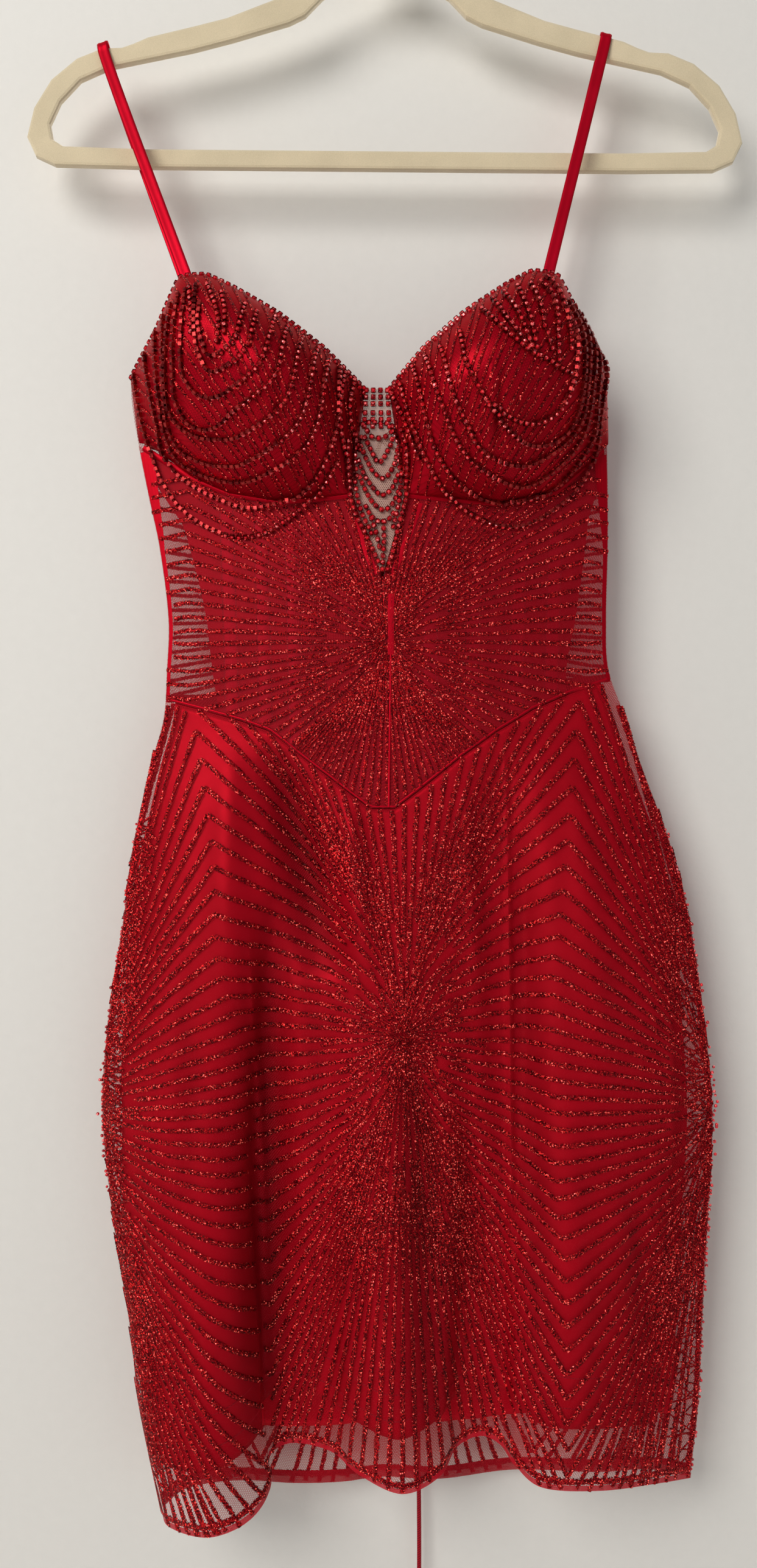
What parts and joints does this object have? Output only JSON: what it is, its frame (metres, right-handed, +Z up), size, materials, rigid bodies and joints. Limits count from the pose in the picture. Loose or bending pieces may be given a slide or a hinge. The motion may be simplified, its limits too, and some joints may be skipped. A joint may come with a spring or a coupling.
{
  "type": "beaded mini dress on a hanger",
  "caption": "Short beaded net dress with moulded cups, a pointed waist seam, satin lining and a laced back, hung by thin straps on a flat velvet hanger.",
  "frame": {"origin": "inside of the crown of the hanger's hook, where a rail holds it", "axes": "+Z up, -Y out of the dress's front, +X to the right seen from the front"},
  "size_m": [0.4454, 0.1013, 1.1605],
  "materials": {
    "hanger_velvet": "beige flocked velvet over plastic",
    "hook_metal": "polished steel wire",
    "strap_satin": "red satin, folded and stitched flat",
    "cup_net": "red satin cup under net with glitter lines",
    "insert_mesh": "sheer skin-coloured mesh",
    "beaded_net": "sheer red net with glitter lines and small beads",
    "bodice_lining": "fine red mesh lining with boning channels",
    "skirt_lining": "bright red satin",
    "lace_satin": "dark red satin cord",
    "rhinestone": "red faceted glass stones",
    "stone_setting": "copper-red metal cups and links",
    "glitter": "red glitter and small beads"
  },
  "bodies": {
    "root": {"hanger": "hanger_velvet", "hanger_hook": "hook_metal", "strap_left": "strap_satin", "strap_right": "strap_satin", "cup_left": "cup_net", "cup_right": "cup_net", "front_insert": "insert_mesh", "bodice_front": "beaded_net", "bodice_lining": "bodice_lining", "bodice_back_left": "beaded_net", "bodice_back_right": "beaded_net", "skirt_front": "beaded_net", "skirt_back": "beaded_net", "lining_front": "skirt_lining", "lining_back": "skirt_lining", "loops_left": "lace_satin", "loops_right": "lace_satin", "lacing": "lace_satin", "tie_knot": "lace_satin", "tail_long": "lace_satin", "tail_long_end": "lace_satin", "tail_short": "lace_satin", "tail_short_end": "lace_satin"}
  },
  "joints": []
}
